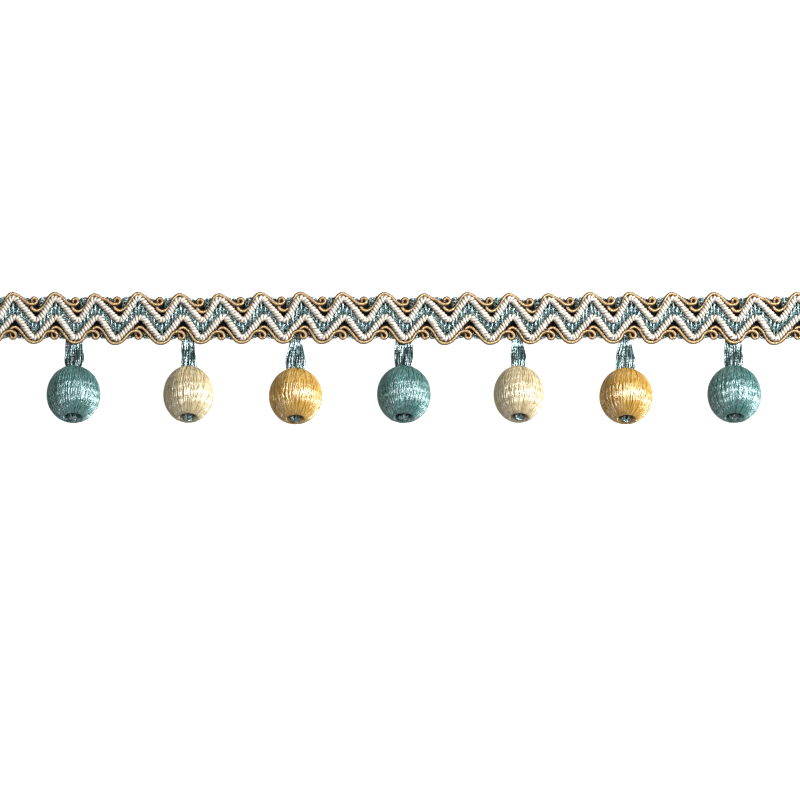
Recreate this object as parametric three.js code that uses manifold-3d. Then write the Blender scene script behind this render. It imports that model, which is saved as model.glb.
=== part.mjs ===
// A furnishing trim laid flat: a yarn tape with two cream zigzag cords, a looped gold cord along each
// edge, and seven thread-wound balls hung from its lower edge on short teal hangers.
// Millimetres. +X runs along the trim, +Y points away from the balls, +Z is up from the surface.
// The origin is the centre of the tape's flat back.
import * as THREE from 'three';
import { mergeVertices } from 'three/addons/utils/BufferGeometryUtils.js';
import Module from 'manifold-3d';

const wasm = await Module();
wasm.setup();

// Spacing between neighbouring pieces, and the reach of a block that cuts another solid
const gap = 0.3;
const cutReach = 30;

// Tape
const trimLength = 310.3;
const tapeHalfWidth = 7.7;
const tapeThickness = 1.0;

// Cords
const creamRadius = 0.95;
const creamSides = 6;
const creamPeakBelowCrest = 2.4;
const creamValleyOut = -0.4;
const creamPeakShift = 0.2;
const creamValleyShift = 0.7;
const creamCornerHalf = 1.1;
const creamCornerDrop = 0.45;
const goldRadius = 0.55;
const goldSides = 4;
const creamLevel = tapeThickness + gap + creamRadius;
const goldLow = tapeThickness + gap + goldRadius;
const goldRise = 2 * goldRadius + gap;

// Eight scallops make one repeat along each edge. Distances along the trim are from the start of the
// repeat, and distances out are from the tape's centre line. A crest is where a gold cord reaches
// furthest out, and a curl is the small closed ring that follows it.
const repeatLength = 123.75;
const repeatStart = -112.2;
const firstRepeat = -1;
const lastRepeat = 2;
const upperScallops = [
  { crest: 0.0, crestOut: 8.9, curl: 8.45, curlOut: 6.95 },
  { crest: 16.3, crestOut: 9.4, curl: 24.4, curlOut: 6.75 },
  { crest: 31.9, crestOut: 9.0, curl: 39.55, curlOut: 6.4 },
  { crest: 46.7, crestOut: 8.9, curl: 54.75, curlOut: 6.75 },
  { crest: 62.25, crestOut: 9.4, curl: 70.1, curlOut: 6.95 },
  { crest: 77.25, crestOut: 9.5, curl: 85.5, curlOut: 6.95 },
  { crest: 93.0, crestOut: 9.4, curl: 101.05, curlOut: 6.95 },
  { crest: 108.75, crestOut: 9.4, curl: 116.5, curlOut: 6.7 },
];
const lowerScallops = [
  { crest: 7.7, crestOut: 9.3, curl: 16.3, curlOut: 6.4 },
  { crest: 24.75, crestOut: 9.25, curl: 32.45, curlOut: 6.6 },
  { crest: 39.75, crestOut: 9.0, curl: 47.45, curlOut: 6.6 },
  { crest: 55.1, crestOut: 8.9, curl: 62.8, curlOut: 6.3 },
  { crest: 70.7, crestOut: 8.8, curl: 78.1, curlOut: 6.3 },
  { crest: 85.3, crestOut: 8.9, curl: 93.0, curlOut: 6.4 },
  { crest: 100.9, crestOut: 8.9, curl: 108.5, curlOut: 6.4 },
  { crest: 116.25, crestOut: 9.0, curl: 123.95, curlOut: 6.4 },
];
const edges = {
  upper: { scallops: upperScallops, side: 1 },
  lower: { scallops: lowerScallops, side: -1 },
};

// One gold stitch: down from a crest, over and round the curl, under its own start and up to the
// next crest. Level 1 is the strand on top where the cord crosses itself, and level 0 the one below.
const goldStitch = [
  { from: 'crest', along: 0.0, out: 0.0, level: 0.0 },
  { from: 'crest', along: 2.9, out: -1.6, level: 0.3 },
  { from: 'curl', along: -3.1, out: -1.2, level: 0.7 },
  { from: 'curl', along: -1.9, out: -2.2, level: 1.0 },
  { from: 'curl', along: -0.3, out: -2.2, level: 1.0 },
  { from: 'curl', along: 1.1, out: -1.3, level: 1.0 },
  { from: 'curl', along: 1.6, out: 0.1, level: 0.8 },
  { from: 'curl', along: 0.4, out: 1.4, level: 0.6 },
  { from: 'curl', along: -1.1, out: 0.9, level: 0.4 },
  { from: 'curl', along: -1.5, out: -0.6, level: 0.2 },
  { from: 'curl', along: -1.2, out: -2.2, level: 0.0 },
  { from: 'curl', along: -0.7, out: -3.3, level: 0.0 },
  { from: 'curl', along: 0.5, out: -3.9, level: 0.0 },
  { from: 'curl', along: 1.8, out: -3.3, level: 0.0 },
  { from: 'curl', along: 3.1, out: -1.5, level: 0.0 },
  { from: 'next', along: -2.6, out: -0.7, level: 0.0 },
];

// Balls: each hangs at the same lean, so its lower mouth shows from above
const ballLean = THREE.MathUtils.degToRad(29);
const ballSegments = 16;
const ballRings = 9;
const boreRadius = 2.2;
const lipWidth = 0.7;
const lipRoll = 0.2;
const funnelDepth = 1.5;
const restCut = 0.3;
const balls = [
  { kind: 'teal', along: -7.75, centreOut: -28.4, girthRadius: 10.0, poleReach: 11.05, mouthRadius: 3.2 },
  { kind: 'cream', along: 35.3, centreOut: -28.4, girthRadius: 9.4, poleReach: 11.2, mouthRadius: 3.2 },
  { kind: 'gold', along: 75.45, centreOut: -29.1, girthRadius: 9.95, poleReach: 10.9, mouthRadius: 2.9 },
];
const ballCount = 7;

// Hangers: eight strands in two loose bundles between a root strip and the ball's bore
const rootNear = -tapeHalfWidth - gap;
const rootDepth = 1.4;
const strandRadius = 0.38;
const strandSides = 4;
const stemRadius = 1.6;
const stemSegments = 8;
const knotRadius = 1.9;
const knotHalfLength = 1.05;
const knotRings = 5;
const hangers = {
  teal: { rootShift: 0.0, rootHalf: 3.1, middleHalf: 3.6, mouthHalf: 2.5 },
  cream: { rootShift: -0.45, rootHalf: 2.2, middleHalf: 3.0, mouthHalf: 2.5 },
  gold: { rootShift: -0.1, rootHalf: 2.2, middleHalf: 3.6, mouthHalf: 2.2 },
};
// A strand's free course, by how far past the root strip it is and its height above the surface
const strandLeaves = { past: 0.6, level: 0.6 };
const strandSpreads = { past: 3.0, level: 1.6 };
const strandWidest = { past: 4.2, level: 2.9 };
// Its course into a ball's bore, by how far inside the mouth it is and the share of its spread left
const strandEnters = [
  { inside: -0.2, spread: 1.0 },
  { inside: 0.9, spread: 0.68 },
  { inside: 2.4, spread: 0.36 },
];
// Places across the hanger are shares of its half width, and depth is in front of or behind it
const strands = [
  { root: -0.95, middle: -0.97, mouth: -0.98, depth: -0.35 },
  { root: -0.68, middle: -0.76, mouth: -0.74, depth: 0.45 },
  { root: -0.42, middle: -0.52, mouth: -0.50, depth: -0.4 },
  { root: -0.15, middle: -0.27, mouth: -0.24, depth: 0.35 },
  { root: 0.14, middle: 0.22, mouth: 0.20, depth: -0.35 },
  { root: 0.41, middle: 0.49, mouth: 0.46, depth: 0.45 },
  { root: 0.69, middle: 0.74, mouth: 0.72, depth: -0.4 },
  { root: 0.95, middle: 0.98, mouth: 0.98, depth: 0.35 },
];

const materials = {
  tape: new THREE.MeshStandardMaterial({ color: 0x4f827d, roughness: 0.7, metalness: 0 }),
  creamCord: new THREE.MeshStandardMaterial({ color: 0xefe2d3, roughness: 0.6, metalness: 0 }),
  goldCord: new THREE.MeshStandardMaterial({ color: 0xbd9059, roughness: 0.35, metalness: 0 }),
  hanger: new THREE.MeshStandardMaterial({ color: 0x5c938f, roughness: 0.5, metalness: 0 }),
  teal: new THREE.MeshStandardMaterial({ color: 0x4f8784, roughness: 0.35, metalness: 0 }),
  cream: new THREE.MeshStandardMaterial({ color: 0xe3d5b2, roughness: 0.35, metalness: 0 }),
  gold: new THREE.MeshStandardMaterial({ color: 0xd6a85e, roughness: 0.35, metalness: 0 }),
};

// Solids: turning three.js geometry into a solid for joining and cutting, and back
function toSolid(geometry) {
  const bare = geometry.clone();
  bare.deleteAttribute('normal');
  bare.deleteAttribute('uv');
  const merged = mergeVertices(bare, 1e-4);
  return new wasm.Manifold(new wasm.Mesh({
    numProp: 3,
    vertProperties: new Float32Array(merged.attributes.position.array),
    triVerts: new Uint32Array(merged.index.array),
  }));
}

function toGeometry(solid) {
  const mesh = solid.getMesh();
  const geometry = new THREE.BufferGeometry();
  geometry.setAttribute('position', new THREE.BufferAttribute(mesh.vertProperties, 3));
  geometry.setIndex(new THREE.BufferAttribute(mesh.triVerts, 1));
  geometry.computeVertexNormals();
  return geometry;
}

function block(low, high) {
  const geometry = new THREE.BoxGeometry(high[0] - low[0], high[1] - low[1], high[2] - low[2]);
  geometry.translate((low[0] + high[0]) / 2, (low[1] + high[1]) / 2, (low[2] + high[2]) / 2);
  return geometry;
}

function mesh(name, geometry, material) {
  const object = new THREE.Mesh(geometry, material);
  object.name = name;
  return object;
}

// Cords: a path that visits each of its points, one a step, and a tube along it
class PointPath extends THREE.Curve {
  constructor(points) {
    super();
    this.points = points;
  }

  getPointAt(share, target = new THREE.Vector3()) {
    return target.copy(this.points[Math.round(share * (this.points.length - 1))]);
  }

  getTangentAt(share, target = new THREE.Vector3()) {
    const last = this.points.length - 1;
    const here = Math.round(share * last);
    const arriving = new THREE.Vector3();
    const leaving = new THREE.Vector3();
    if (here > 0) arriving.subVectors(this.points[here], this.points[here - 1]).normalize();
    if (here < last) leaving.subVectors(this.points[here + 1], this.points[here]).normalize();
    return target.addVectors(arriving, leaving).normalize();
  }
}

function roundSection(radius, sides) {
  const corners = [];
  for (let i = 0; i < sides; i++) {
    const turn = (2 * Math.PI * (i + 0.5)) / sides;
    corners.push(new THREE.Vector2(radius * Math.cos(turn), radius * Math.sin(turn)));
  }
  return new THREE.Shape(corners);
}

function tube(points, radius, sides) {
  return new THREE.ExtrudeGeometry(roundSection(radius, sides), {
    steps: points.length - 1,
    extrudePath: new PointPath(points),
  });
}

// Both ends of the trim are cut square, so a cord is made too long and cut to the tape's ends
function cutToLength(geometry) {
  const half = trimLength / 2;
  const span = toSolid(block([-half, -cutReach, -cutReach], [half, cutReach, cutReach]));
  return toGeometry(toSolid(geometry).intersect(span));
}

// An edge's scallops in the trim's own frame, repeated a little past both of its ends
function placedScallops(edge) {
  const placed = [];
  for (let repeat = firstRepeat; repeat <= lastRepeat; repeat++) {
    const start = repeatStart + repeat * repeatLength;
    for (const row of edge.scallops) {
      placed.push({ ...row, crest: start + row.crest, curl: start + row.curl });
    }
  }
  const past = trimLength / 2 + repeatLength / edge.scallops.length;
  return placed.filter((row) => Math.abs(row.crest) < past);
}

function goldCord(edge) {
  const rows = placedScallops(edge);
  const points = [];
  for (let i = 0; i + 1 < rows.length; i++) {
    const anchors = {
      crest: [rows[i].crest, rows[i].crestOut],
      curl: [rows[i].curl, rows[i].curlOut],
      next: [rows[i + 1].crest, rows[i + 1].crestOut],
    };
    for (const step of goldStitch) {
      const [along, out] = anchors[step.from];
      const level = goldLow + goldRise * step.level;
      points.push(new THREE.Vector3(along + step.along, edge.side * (out + step.out), level));
    }
  }
  return cutToLength(tube(points, goldRadius, goldSides));
}

// The cream zigzags turn each corner in three steps
function creamCorner(points, along, out, bend) {
  for (const step of [-1, 0, 1]) {
    const drop = step === 0 ? 0 : creamCornerDrop;
    points.push(new THREE.Vector3(along + step * creamCornerHalf, out - bend * drop, creamLevel));
  }
}

function creamCord(edge) {
  const points = [];
  for (const row of placedScallops(edge)) {
    const peakOut = edge.side * (row.crestOut - creamPeakBelowCrest);
    creamCorner(points, row.crest + creamPeakShift, peakOut, edge.side);
    creamCorner(points, row.curl + creamValleyShift, edge.side * creamValleyOut, -edge.side);
  }
  return cutToLength(tube(points, creamRadius, creamSides));
}

// Balls: an egg of wound thread with a bore that opens into a round-lipped mouth at each pole
function restingHeight(ball) {
  const fromPoles = ball.poleReach * Math.sin(ballLean);
  const fromGirth = ball.girthRadius * Math.cos(ballLean);
  return Math.hypot(fromPoles, fromGirth) - restCut;
}

function mouthPlace(ball) {
  const lip = ball.mouthRadius + lipWidth;
  return ball.poleReach * Math.sqrt(1 - (lip / ball.girthRadius) ** 2);
}

function ballGeometry(ball) {
  const mouth = mouthPlace(ball);
  const lipTurn = Math.acos((ball.mouthRadius + lipWidth) / ball.girthRadius);
  const profile = [];
  profile.push(new THREE.Vector2(boreRadius, -mouth + funnelDepth));
  profile.push(new THREE.Vector2(ball.mouthRadius, -mouth + lipRoll));
  for (let i = 0; i <= ballRings; i++) {
    const turn = lipTurn * ((2 * i) / ballRings - 1);
    profile.push(new THREE.Vector2(ball.girthRadius * Math.cos(turn), ball.poleReach * Math.sin(turn)));
  }
  profile.push(new THREE.Vector2(ball.mouthRadius, mouth - lipRoll));
  profile.push(new THREE.Vector2(boreRadius, mouth - funnelDepth));
  profile.push(profile[0].clone());
  const geometry = new THREE.LatheGeometry(profile, ballSegments);
  geometry.rotateX(Math.PI - ballLean);
  const floor = -restingHeight(ball);
  const below = toSolid(block([-cutReach, -cutReach, floor - cutReach], [cutReach, cutReach, floor]));
  return toGeometry(toSolid(geometry).subtract(below));
}

// Places in a ball's own terms: how far along its axis towards the lower mouth, across and deep
function inBall(ball, axial, across, deep) {
  const lean = Math.sin(ballLean);
  const level = Math.cos(ballLean);
  return new THREE.Vector3(
    across,
    ball.centreOut - level * axial + lean * deep,
    restingHeight(ball) + lean * axial + level * deep,
  );
}

function strandPoints(ball, hanger, strand) {
  const edge = rootNear - rootDepth;
  const root = hanger.rootShift + hanger.rootHalf * strand.root;
  const middle = hanger.middleHalf * strand.middle;
  const points = [
    new THREE.Vector3(root, rootNear - rootDepth / 2, tapeThickness / 2),
    new THREE.Vector3(root, edge - strandLeaves.past, strandLeaves.level),
    new THREE.Vector3(
      (root + 2 * middle) / 3, edge - strandSpreads.past, strandSpreads.level + strand.depth / 2),
    new THREE.Vector3(middle, edge - strandWidest.past, strandWidest.level + strand.depth),
  ];
  for (const step of strandEnters) {
    const across = step.spread * hanger.mouthHalf * strand.mouth;
    points.push(inBall(ball, step.inside - mouthPlace(ball), across, strand.depth));
  }
  return points;
}

function hangerGeometry(ball) {
  const hanger = hangers[ball.kind];
  const mouth = mouthPlace(ball);
  const rootLow = [hanger.rootShift - hanger.rootHalf - strandRadius, rootNear - rootDepth, 0];
  const rootHigh = [hanger.rootShift + hanger.rootHalf + strandRadius, rootNear, tapeThickness];
  let solid = toSolid(block(rootLow, rootHigh));
  for (const strand of strands) {
    solid = solid.add(toSolid(tube(strandPoints(ball, hanger, strand), strandRadius, strandSides)));
  }
  const stemLength = 2 * (mouth - funnelDepth);
  const stem = new THREE.CylinderGeometry(stemRadius, stemRadius, stemLength, stemSegments);
  const knot = new THREE.SphereGeometry(knotRadius, stemSegments, knotRings);
  knot.scale(1, knotHalfLength / knotRadius, 1);
  knot.translate(0, mouth - knotHalfLength, 0);
  for (const piece of [stem, knot]) {
    piece.rotateX(Math.PI - ballLean);
    piece.translate(0, ball.centreOut, restingHeight(ball));
    solid = solid.add(toSolid(piece));
  }
  return toGeometry(solid);
}

const trim = new THREE.Group();
const half = trimLength / 2;
const tape = block([-half, -tapeHalfWidth, 0], [half, tapeHalfWidth, tapeThickness]);
trim.add(mesh('ground_tape', tape, materials.tape));
for (const [edgeName, edge] of Object.entries(edges)) {
  trim.add(mesh(`cream_cord_${edgeName}`, creamCord(edge), materials.creamCord));
  trim.add(mesh(`gold_cord_${edgeName}`, goldCord(edge), materials.goldCord));
}

for (let i = 0; i < ballCount; i++) {
  const ball = balls[i % balls.length];
  const repeat = Math.floor(i / balls.length);
  const drop = new THREE.Group();
  drop.position.x = repeatStart + repeat * repeatLength + ball.along;
  const wound = mesh(`wound_ball_${i + 1}`, ballGeometry(ball), materials[ball.kind]);
  wound.position.set(0, ball.centreOut, restingHeight(ball));
  drop.add(wound);
  drop.add(mesh(`hanger_${i + 1}`, hangerGeometry(ball), materials.hanger));
  trim.add(drop);
}

export default trim;
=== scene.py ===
# Ball trim laid flat: a teal yarn tape with two cream zigzag cords, a looped gold cord along each edge,
# and seven thread-wound balls hung from its lower edge on short teal yarns.
# Sizes and places are millimetres in the frame's own axes until a mesh is made, which is in metres.
import math
import random
from collections import namedtuple

import bpy
from mathutils import Matrix, Vector


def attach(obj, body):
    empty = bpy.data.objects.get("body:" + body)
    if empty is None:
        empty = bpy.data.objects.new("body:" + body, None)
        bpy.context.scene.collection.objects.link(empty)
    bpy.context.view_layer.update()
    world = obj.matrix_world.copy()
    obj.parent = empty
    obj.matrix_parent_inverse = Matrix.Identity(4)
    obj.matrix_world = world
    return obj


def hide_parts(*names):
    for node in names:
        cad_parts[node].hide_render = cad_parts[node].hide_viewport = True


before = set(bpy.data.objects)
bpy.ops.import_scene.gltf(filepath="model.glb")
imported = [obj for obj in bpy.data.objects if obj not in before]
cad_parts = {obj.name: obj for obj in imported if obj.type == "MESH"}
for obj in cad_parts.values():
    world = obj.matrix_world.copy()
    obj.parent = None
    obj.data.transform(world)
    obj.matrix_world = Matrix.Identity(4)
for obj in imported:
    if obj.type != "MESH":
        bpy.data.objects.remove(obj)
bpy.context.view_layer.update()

MM = 0.001

# Tape: its woven ground, whose rows are shares of the half width, and the level that its yarns lie on
TRIM_LENGTH = 310.3
TAPE_HALF_WIDTH = 7.0
GROUND_TOP = 0.55
GROUND_ROWS = (-1.0, -0.97, -0.6, -0.2, 0.2, 0.6, 0.97, 1.0)
GROUND_EDGE_DROP = 0.15
RIDGE_PITCH = 0.8
RIDGE_HEIGHT = 0.12
YARN_BED = 0.85
YARN_END_INSET = 1.0
NOTCH_SEED = 11
EDGE_SEED = 5

# Cords
CORD_BASE = 1.3
CREAM_LEVEL = CORD_BASE + 0.95
CREAM_PEAK_BELOW_CREST = 1.95
CREAM_VALLEY_OUT = -0.35
CREAM_PEAK_SHIFT = 0.2
CREAM_VALLEY_SHIFT = 0.7
CREAM_CORNER_HALF = 1.35
CREAM_CORNER_DROP = 0.5
GOLD_LOW = CORD_BASE + 0.55
GOLD_RISE = 1.4
CORD_END_INSET = 0.7

# Scallops along each edge, eight to a repeat: how far along each crest and curl is from the start of
# the repeat, and how far out from the tape's centre line
REPEAT_LENGTH = 123.75
REPEAT_START = -112.2
REPEATS = range(-1, 3)
Scallop = namedtuple("Scallop", "crest crest_out curl curl_out")
UPPER_SCALLOPS = [
    Scallop(0.0, 8.9, 8.45, 6.95),
    Scallop(16.3, 9.4, 24.4, 6.75),
    Scallop(31.9, 9.0, 39.55, 6.4),
    Scallop(46.7, 8.9, 54.75, 6.75),
    Scallop(62.25, 9.4, 70.1, 6.95),
    Scallop(77.25, 9.5, 85.5, 6.95),
    Scallop(93.0, 9.4, 101.05, 6.95),
    Scallop(108.75, 9.4, 116.5, 6.7),
]
LOWER_SCALLOPS = [
    Scallop(7.7, 9.3, 16.3, 6.4),
    Scallop(24.75, 9.25, 32.45, 6.6),
    Scallop(39.75, 9.0, 47.45, 6.6),
    Scallop(55.1, 8.9, 62.8, 6.3),
    Scallop(70.7, 8.8, 78.1, 6.3),
    Scallop(85.3, 8.9, 93.0, 6.4),
    Scallop(100.9, 8.9, 108.5, 6.4),
    Scallop(116.25, 9.0, 123.95, 6.4),
]

# One gold stitch: down from a crest, over and round the curl, under its own start and up to the next
# crest. Level 1 is the strand on top where the cord crosses itself, and level 0 the one below.
Turn = namedtuple("Turn", "anchor along out level")
UPPER_STITCH = [
    Turn("crest", 0.0, 0.0, 0.0),
    Turn("crest", 2.6, -1.3, 0.3),
    Turn("curl", -4.0, 0.0, 0.6),
    Turn("curl", -2.3, -1.3, 0.9),
    Turn("curl", -0.7, -1.5, 1.0),
    Turn("curl", 0.45, -1.2, 1.0),
    Turn("curl", 0.95, -0.35, 0.9),
    Turn("curl", 0.6, 0.5, 0.75),
    Turn("curl", -0.25, 0.75, 0.6),
    Turn("curl", -1.0, 0.2, 0.45),
    Turn("curl", -1.0, -0.7, 0.15),
    Turn("curl", -1.3, -2.0, 0.0),
    Turn("curl", -0.9, -3.2, 0.0),
    Turn("curl", 0.7, -4.0, 0.0),
    Turn("curl", 2.4, -3.3, 0.0),
    Turn("curl", 3.8, -1.8, 0.0),
    Turn("next", -1.9, -1.0, 0.0),
]
LOWER_STITCH = [
    Turn("crest", 0.0, 0.0, 0.0),
    Turn("crest", 2.5, -0.9, 0.3),
    Turn("curl", -3.6, -0.7, 0.7),
    Turn("curl", -2.2, -1.6, 0.9),
    Turn("curl", -0.7, -1.75, 1.0),
    Turn("curl", 0.45, -1.25, 1.0),
    Turn("curl", 1.05, -0.3, 0.9),
    Turn("curl", 0.85, 0.6, 0.75),
    Turn("curl", 0.05, 1.0, 0.6),
    Turn("curl", -0.8, 0.6, 0.45),
    Turn("curl", -0.9, -0.4, 0.15),
    Turn("curl", -1.15, -1.5, 0.0),
    Turn("curl", -0.9, -2.55, 0.0),
    Turn("curl", 0.4, -3.2, 0.0),
    Turn("curl", 1.7, -2.75, 0.0),
    Turn("curl", 3.0, -1.5, 0.0),
    Turn("next", -2.3, -0.9, 0.0),
]

# Yarn loops beside each curl: how far along from it and out from it, and half the loop's width
Loop = namedtuple("Loop", "along out half")
LOOPS = [
    Loop(-3.9, 1.0, 0.75),
    Loop(-2.7, 0.7, 0.6),
    Loop(2.6, 0.9, 0.7),
    Loop(3.7, 1.0, 0.75),
    Loop(4.9, 1.2, 0.7),
]

Edge = namedtuple("Edge", "side scallops stitch")
EDGES = {
    "upper": Edge(1, UPPER_SCALLOPS, UPPER_STITCH),
    "lower": Edge(-1, LOWER_SCALLOPS, LOWER_STITCH),
}

# Balls, each leaning so that its lower mouth shows from above: half its width, half its length, its
# mouth's radius and how far a thread may ride up over its neighbours
BALL_LEAN = math.radians(29)
BORE_RADIUS = 2.6
LIP_WIDTH = 0.7
LIP_ROLL = 0.2
LIP_RISE = 0.02
FUNNEL_DEPTH = 1.9
REST_CUT = 0.3
REST_SOFTNESS = 0.15
Ball = namedtuple("Ball", "kind along centre_out girth pole mouth lift")
BALLS = [
    Ball("teal", along=-7.75, centre_out=-28.4, girth=10.0, pole=11.05, mouth=3.5, lift=0.16),
    Ball("cream", along=35.3, centre_out=-28.4, girth=9.4, pole=11.2, mouth=3.4, lift=0.08),
    Ball("gold", along=75.45, centre_out=-29.1, girth=9.95, pole=10.9, mouth=3.35, lift=0.06),
]
BALL_COUNT = 7

# Hanging yarns: how far along the bundle's root is from its ball's middle, and half the bundle's width
# at the tape, on the way down, where it goes under the ball's upper end and in the mouth
Hanger = namedtuple("Hanger", "root_shift root middle under mouth")
HANGERS = {
    "teal": Hanger(0.0, 2.9, 3.3, 2.7, 2.3),
    "cream": Hanger(-0.45, 1.9, 2.5, 2.6, 2.2),
    "gold": Hanger(-0.1, 2.0, 3.4, 3.2, 2.1),
}

# A strand's way from under the tape's edge: how far out and how high it is, its share of the change from
# the bundle's root to its width on the way down, and the share of its own rise that it has
Way = namedtuple("Way", "out level spread rise")
STRAND_WAY = [
    Way(-5.6, 0.65, 0.0, 0.0),
    Way(-9.4, 0.7, 0.0, 0.0),
    Way(-11.2, 1.3, 1 / 3, 0.25),
    Way(-13.2, 2.2, 0.75, 0.5),
    Way(-15.4, 3.2, 1.0, 1.0),
]

# Where a strand goes into the ball: how far past the upper mouth, and its share of which half width
Entry = namedtuple("Entry", "inside width spread")
STRAND_ENTERS = [Entry(-1.2, "under", 1.0), Entry(0.4, "mouth", 1.0), Entry(2.4, "mouth", 0.45)]

# Strands of one bundle: their shares of its half widths, and how high they lie in it
Strand = namedtuple("Strand", "root middle mouth rise")
STRANDS = [
    Strand(-0.97, -0.98, -0.98, -0.3),
    Strand(-0.62, -0.69, -0.66, 0.5),
    Strand(-0.30, -0.38, -0.32, 0.0),
    Strand(0.05, 0.20, 0.16, 0.2),
    Strand(0.36, 0.46, 0.42, 0.55),
    Strand(0.67, 0.72, 0.70, -0.2),
    Strand(0.97, 0.98, 0.98, 0.3),
    Strand(-0.12, -0.10, -0.06, -1.1),
    Strand(0.20, 0.06, 0.06, -1.3),
    Strand(-0.80, -0.83, -0.5, -0.9),
    Strand(-0.46, -0.53, -0.5, -1.1),
    Strand(0.52, 0.58, 0.5, -1.1),
    Strand(0.82, 0.85, 0.5, -0.9),
]

# How the yarns, the cords' wraps and the floss are laid, as inputs of the two trees of geometry nodes
FINE_YARN = {
    "Plies": 2, "Ply Radius": 0.27 * MM, "Lay Radius": 0.21 * MM, "Pitch": 6.5 * MM,
    "Step": 0.42 * MM, "Sides": 4, "Waver": 0.1 * MM,
}
STRAIGHT_YARN = {
    **FINE_YARN, "Ply Radius": 0.3 * MM, "Lay Radius": 0.2 * MM, "Pitch": 14.0 * MM, "Waver": 0.0,
}
HANGING_YARN = {
    "Plies": 2, "Ply Radius": 0.27 * MM, "Lay Radius": 0.23 * MM, "Pitch": 18.0 * MM,
    "Step": 0.42 * MM, "Sides": 6, "Hand": 1.0, "Waver": 0.25 * MM,
}
CREAM_WRAP = {
    "Plies": 2, "Ply Radius": 0.54 * MM, "Lay Radius": 0.79 * MM, "Pitch": 2.4 * MM,
    "Step": 0.2 * MM, "Sides": 7, "Waver": 0.18 * MM, "Waver Length": 1.6 * MM, "Uneven": 0.2,
}
GOLD_WRAP = {
    "Plies": 1, "Ply Radius": 0.4 * MM, "Lay Radius": 0.43 * MM, "Pitch": 0.42 * MM,
    "Step": 0.045 * MM, "Sides": 4,
}
BALL_FLOSS = {
    "Threads": 165, "Thread Radius": 0.25 * MM, "Bore": BORE_RADIUS * MM, "Mouth Share": 0.45,
    "Slant": 0.1, "Slant Spread": 0.12, "Waver": 0.18, "Sides": 5,
}

# The photograph's frame: 800 pixels of 0.375 mm at the view's level, and where along and across the
# tape its middle is
PHOTO_WIDTH = 300.0
PHOTO_CENTRE = (2.34, -30.56)
VIEW_LEVEL = 6.0

# Socket types, and the stretch that nearly all of a noise texture's values lie in
GEOMETRY = "NodeSocketGeometry"
MATERIAL = "NodeSocketMaterial"
COLOR = "NodeSocketColor"
FLOAT = "NodeSocketFloat"
NUMBERS = {float: FLOAT, int: "NodeSocketInt"}
NOISE_RANGE = (0.3, 0.7)


# Node trees
class Bench:
    """Lays out one node tree: each call adds a node, and links or sets what it is given."""

    def __init__(self, tree):
        self.tree = tree

    def node(self, kind, inputs=None, **settings):
        made = self.tree.nodes.new(kind)
        for name, value in settings.items():
            setattr(made, name, value)
        for socket, value in (inputs or {}).items():
            self.feed(made.inputs[socket], value)
        return made

    def first(self, kind, inputs=None, **settings):
        """The first output of a new node."""
        return self.node(kind, inputs, **settings).outputs[0]

    def feed(self, socket, value):
        if isinstance(value, bpy.types.NodeSocket):
            self.tree.links.new(value, socket)
        else:
            socket.default_value = value

    def math(self, operation, *values):
        return self.first("ShaderNodeMath", dict(enumerate(values)), operation=operation)

    def vector(self, operation, *values):
        return self.first("ShaderNodeVectorMath", dict(enumerate(values)), operation=operation)

    def scaled(self, vector, factor):
        return self.first("ShaderNodeVectorMath", {0: vector, "Scale": factor}, operation="SCALE")

    def map_range(self, value, low, high, new_low=0.0, new_high=1.0):
        return self.first("ShaderNodeMapRange", {0: value, 1: low, 2: high, 3: new_low, 4: new_high})

    def mix(self, factor, first, second):
        return self.first("ShaderNodeMix", {0: factor, 2: first, 3: second})

    def mix_color(self, factor, first, second):
        inputs = {0: factor, 6: first, 7: second}
        return self.node("ShaderNodeMix", inputs, data_type="RGBA").outputs[2]

    def noise(self, place, scale, detail=1.0):
        inputs = {"Vector": place, "Scale": scale, "Detail": detail}
        return self.node("ShaderNodeTexNoise", inputs).outputs["Fac"]

    def axes(self, vector):
        return self.node("ShaderNodeSeparateXYZ", {0: vector}).outputs

    def random(self, low, high, item, seed, step=0):
        """A random number for each item. Each step is a draw of its own from the same seed."""
        inputs = {2: low, 3: high, "ID": item, "Seed": self.math("ADD", seed, float(step))}
        return self.node("FunctionNodeRandomValue", inputs, data_type="FLOAT").outputs[1]

    def store(self, geometry, name, value, domain="POINT", data_type="FLOAT"):
        inputs = {"Geometry": geometry, "Name": name, "Value": value}
        return self.first("GeometryNodeStoreNamedAttribute", inputs, domain=domain, data_type=data_type)

    def stored(self, name):
        """A stored attribute, as a material reads it."""
        return self.node("ShaderNodeAttribute", attribute_name=name).outputs


def new_group(name, tree_type, inputs, outputs):
    """A node tree with its named inputs and outputs, the bench to lay it out on, and its two ends. An
    input is given as the number that it has by default, or else as its socket type."""
    tree = bpy.data.node_groups.new(name, tree_type)
    for label, given in inputs.items():
        socket_type = NUMBERS.get(type(given), given)
        socket = tree.interface.new_socket(label, in_out="INPUT", socket_type=socket_type)
        if type(given) in NUMBERS:
            socket.default_value = given
    for label, socket_type in outputs.items():
        tree.interface.new_socket(label, in_out="OUTPUT", socket_type=socket_type)
    bench = Bench(tree)
    return tree, bench, bench.node("NodeGroupInput").outputs, bench.node("NodeGroupOutput").inputs


def finish_tube(bench, curves, profile, scale, material):
    """Sweeps the profile along each curve and gives the closed tubes their material."""
    inputs = {"Curve": curves, "Profile Curve": profile, "Scale": scale, "Fill Caps": True}
    tubes = bench.first("GeometryNodeCurveToMesh", inputs)
    smooth = bench.first("GeometryNodeSetShadeSmooth", {"Geometry": tubes})
    plain = bench.first("GeometryNodeRealizeInstances", {"Geometry": smooth})
    return bench.first("GeometryNodeSetMaterial", {"Geometry": plain, "Material": material})


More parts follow.
